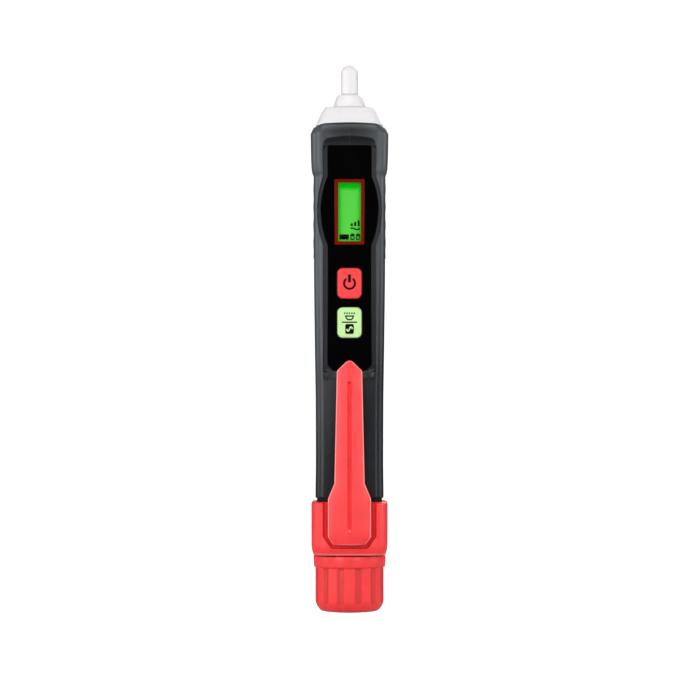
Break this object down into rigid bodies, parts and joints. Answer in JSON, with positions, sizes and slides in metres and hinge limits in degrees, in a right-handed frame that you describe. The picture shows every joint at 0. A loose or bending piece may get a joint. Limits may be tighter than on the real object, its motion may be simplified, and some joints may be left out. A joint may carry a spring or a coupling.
{
  "type": "non contact voltage tester",
  "caption": "Pen-shaped tester with a clear sensing tip, a lit display, two buttons, a pocket clip on a collar and a fluted screw cap.",
  "frame": {"origin": "centre of the battery cap's flat foot, on the pen's axis", "axes": "+Z along the pen to the sensing tip, -Y the way the display faces, +X to the right of the display as it is read"},
  "size_m": [0.0226, 0.0253, 0.16],
  "materials": {
    "casing": "soft-touch charcoal, fine texture",
    "grip": "ribbed charcoal rubber",
    "clear_nose": "clear frosted polycarbonate",
    "antenna": "plain",
    "led_white": "clear white LED",
    "led_red": "red LED",
    "fascia": "polished black",
    "frame_red": "dark red",
    "display_window": "clear",
    "lcd": "green lit liquid crystal",
    "backlight": "white diffuser",
    "elastomer": "striped silicone",
    "board": "green solder resist",
    "component": "moulded epoxy",
    "button_red": null,
    "button_green": null,
    "tube": "black",
    "cell_sleeve": "printed sleeve, plain",
    "contact_metal": "nickel plated",
    "screw": "zinc plated",
    "red_plastic": "satin red",
    "seal": "nitrile"
  },
  "bodies": {
    "casing": {"front_shell": "casing", "rear_shell": "casing", "side_grips": "grip", "nose": "clear_nose", "antenna": "antenna", "torch_led": "led_white", "alarm_led": "led_red", "fascia": "fascia", "display_frame": "frame_red", "display_window": "display_window", "lcd": "lcd", "backlight": "backlight", "contact_strips": "elastomer", "circuit_board": "board", "board_parts": "component", "buzzer": "component", "power_switch": "component", "function_switch": "component", "battery_tube": "tube", "cell_lower": "cell_sleeve", "cell_upper": "cell_sleeve", "positive_contact": "contact_metal", "negative_strip": "contact_metal", "case_screws": "screw", "clip_collar": "red_plastic", "seal_ring": "seal"},
    "clip": {"pocket_clip": "red_plastic"},
    "power_key": {"power_button": "button_red"},
    "function_key": {"function_button": "button_green"},
    "cap_contact_group": {"cap_contact": "contact_metal", "battery_spring": "contact_metal"},
    "cap": {"battery_cap": "red_plastic"}
  },
  "joints": [
    {"name": "power_press", "type": "slide", "parent": "casing", "child": "power_key", "axis": [0, 1, 0], "range_m": [0, 0.0004], "stiffness_N_per_m": 600, "springref_m": -0.0008},
    {"name": "function_press", "type": "slide", "parent": "casing", "child": "function_key", "axis": [0, 1, 0], "range_m": [0, 0.0004], "stiffness_N_per_m": 600, "springref_m": -0.0008},
    {"name": "clip_flex", "type": "hinge", "parent": "casing", "child": "clip", "pos_m": [0, -0.01015, 0.023], "axis": [1, 0, 0], "range_deg": [0, 4], "stiffness_Nm_per_rad": 1, "springref_deg": -3.44},
    {"name": "cap_advance", "type": "slide", "parent": "casing", "child": "cap_contact_group", "axis": [0, 0, -1], "range_m": [0, 0.0105]},
    {"name": "cap_turn", "type": "hinge", "parent": "cap_contact_group", "child": "cap", "pos_m": [0, 0, 0.008], "axis": [0, 0, -1], "range_deg": [0, 756]}
  ],
  "couplings": [
    {"joint": "cap_advance", "follows": "cap_turn", "m_per_rad": 0.00079577}
  ]
}
